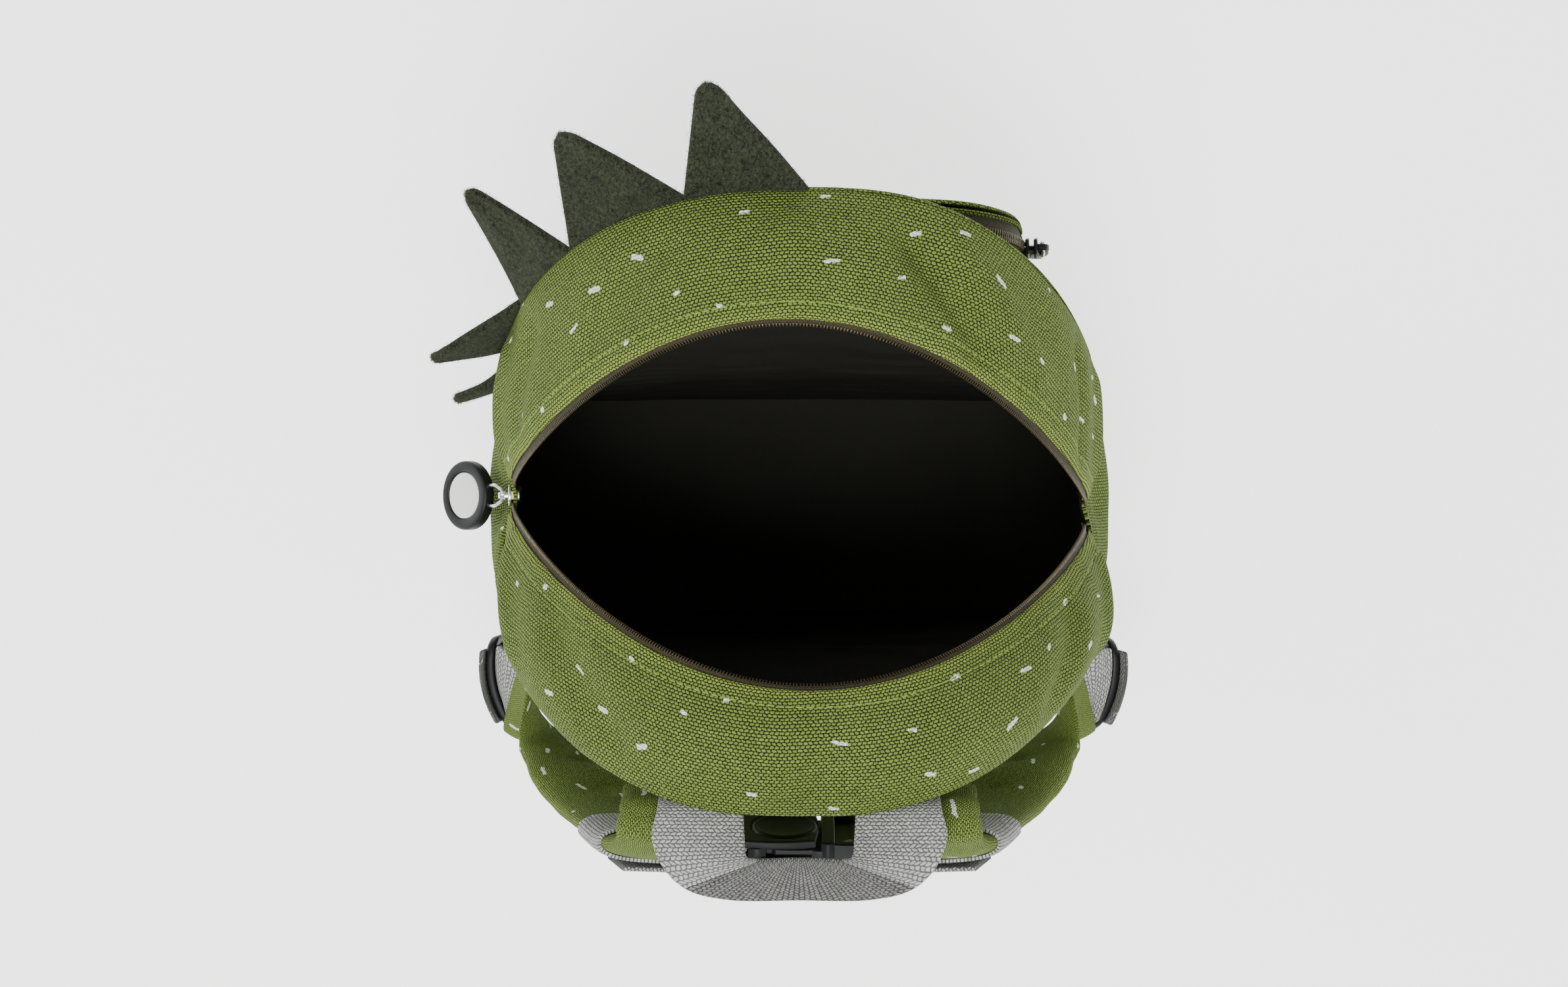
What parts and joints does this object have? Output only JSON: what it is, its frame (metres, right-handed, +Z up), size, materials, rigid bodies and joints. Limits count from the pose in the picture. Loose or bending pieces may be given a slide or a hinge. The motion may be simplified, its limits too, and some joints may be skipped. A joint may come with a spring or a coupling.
{
  "type": "small zipped backpack",
  "caption": "Small child's canvas backpack with felt spikes along its seam, standing open on its base with straps, carry handle, chest buckle and a front pocket.",
  "frame": {"origin": "centre of the base, on the surface the bag stands on", "axes": "+Z up, +Y towards the wearer's back, -Y towards the front pocket, +X towards the felt spikes"},
  "size_m": [0.2738, 0.2752, 0.3253],
  "materials": {
    "canvas": "coarse plain-woven green canvas",
    "lining": "thin near-black woven lining",
    "tape": "dark olive-brown zip tape",
    "teeth": "dull metal zip teeth",
    "metal": "bright metal",
    "felt": "thick dark olive felt",
    "webbing": "coarse grey woven webbing",
    "plastic": "satin black plastic",
    "face": "off-white enamel"
  },
  "bodies": {
    "bag": {"front_panel": "canvas", "back_panel": "canvas", "lining_front": "lining", "lining_back": "lining", "zip_gusset_front": "canvas", "main_zip_tape_front": "tape", "main_zip_teeth_front": "teeth", "lining_zip_front": "lining", "zip_gusset_back": "canvas", "main_zip_tape_back": "tape", "main_zip_teeth_back": "teeth", "lining_zip_back": "lining", "lower_gusset": "canvas", "lining_lower": "lining", "main_slider": "metal", "pocket_panel": "canvas", "pocket_gusset_fore": "canvas", "pocket_gusset_rear": "canvas", "pocket_gusset_lower": "canvas", "pocket_zip": "tape", "pocket_slider": "metal", "spike_1": "felt", "spike_2": "felt", "spike_3": "felt", "spike_4": "felt", "spike_5": "felt", "carry_handle": "webbing", "shoulder_strap_left": "canvas", "chest_band_left": "webbing", "strap_adjuster_left": "plastic", "strap_loop_left": "webbing", "strap_webbing_left": "webbing", "chest_webbing_left": "webbing", "shoulder_strap_right": "canvas", "chest_band_right": "webbing", "strap_adjuster_right": "plastic", "strap_loop_right": "webbing", "strap_webbing_right": "webbing", "chest_webbing_right": "webbing", "chest_buckle_socket": "plastic", "chest_buckle_plug": "plastic"},
    "main_puller": {"main_puller_bail": "metal", "main_puller_disc": "plastic", "main_puller_face": "face"},
    "pocket_puller": {"pocket_puller_ring": "metal", "pocket_puller_tab": "plastic"}
  },
  "joints": [
    {"name": "main_puller_swing", "type": "hinge", "parent": "bag", "child": "main_puller", "pos_m": [0.11411, -0.0036, 0.1475], "axis": [0, 1, 0], "range_deg": [-90, 0]},
    {"name": "pocket_puller_swing", "type": "hinge", "parent": "bag", "child": "pocket_puller", "pos_m": [-0.09188, -0.09182, 0.17375], "axis": [0, 1, 0], "range_deg": [0, 80]}
  ]
}
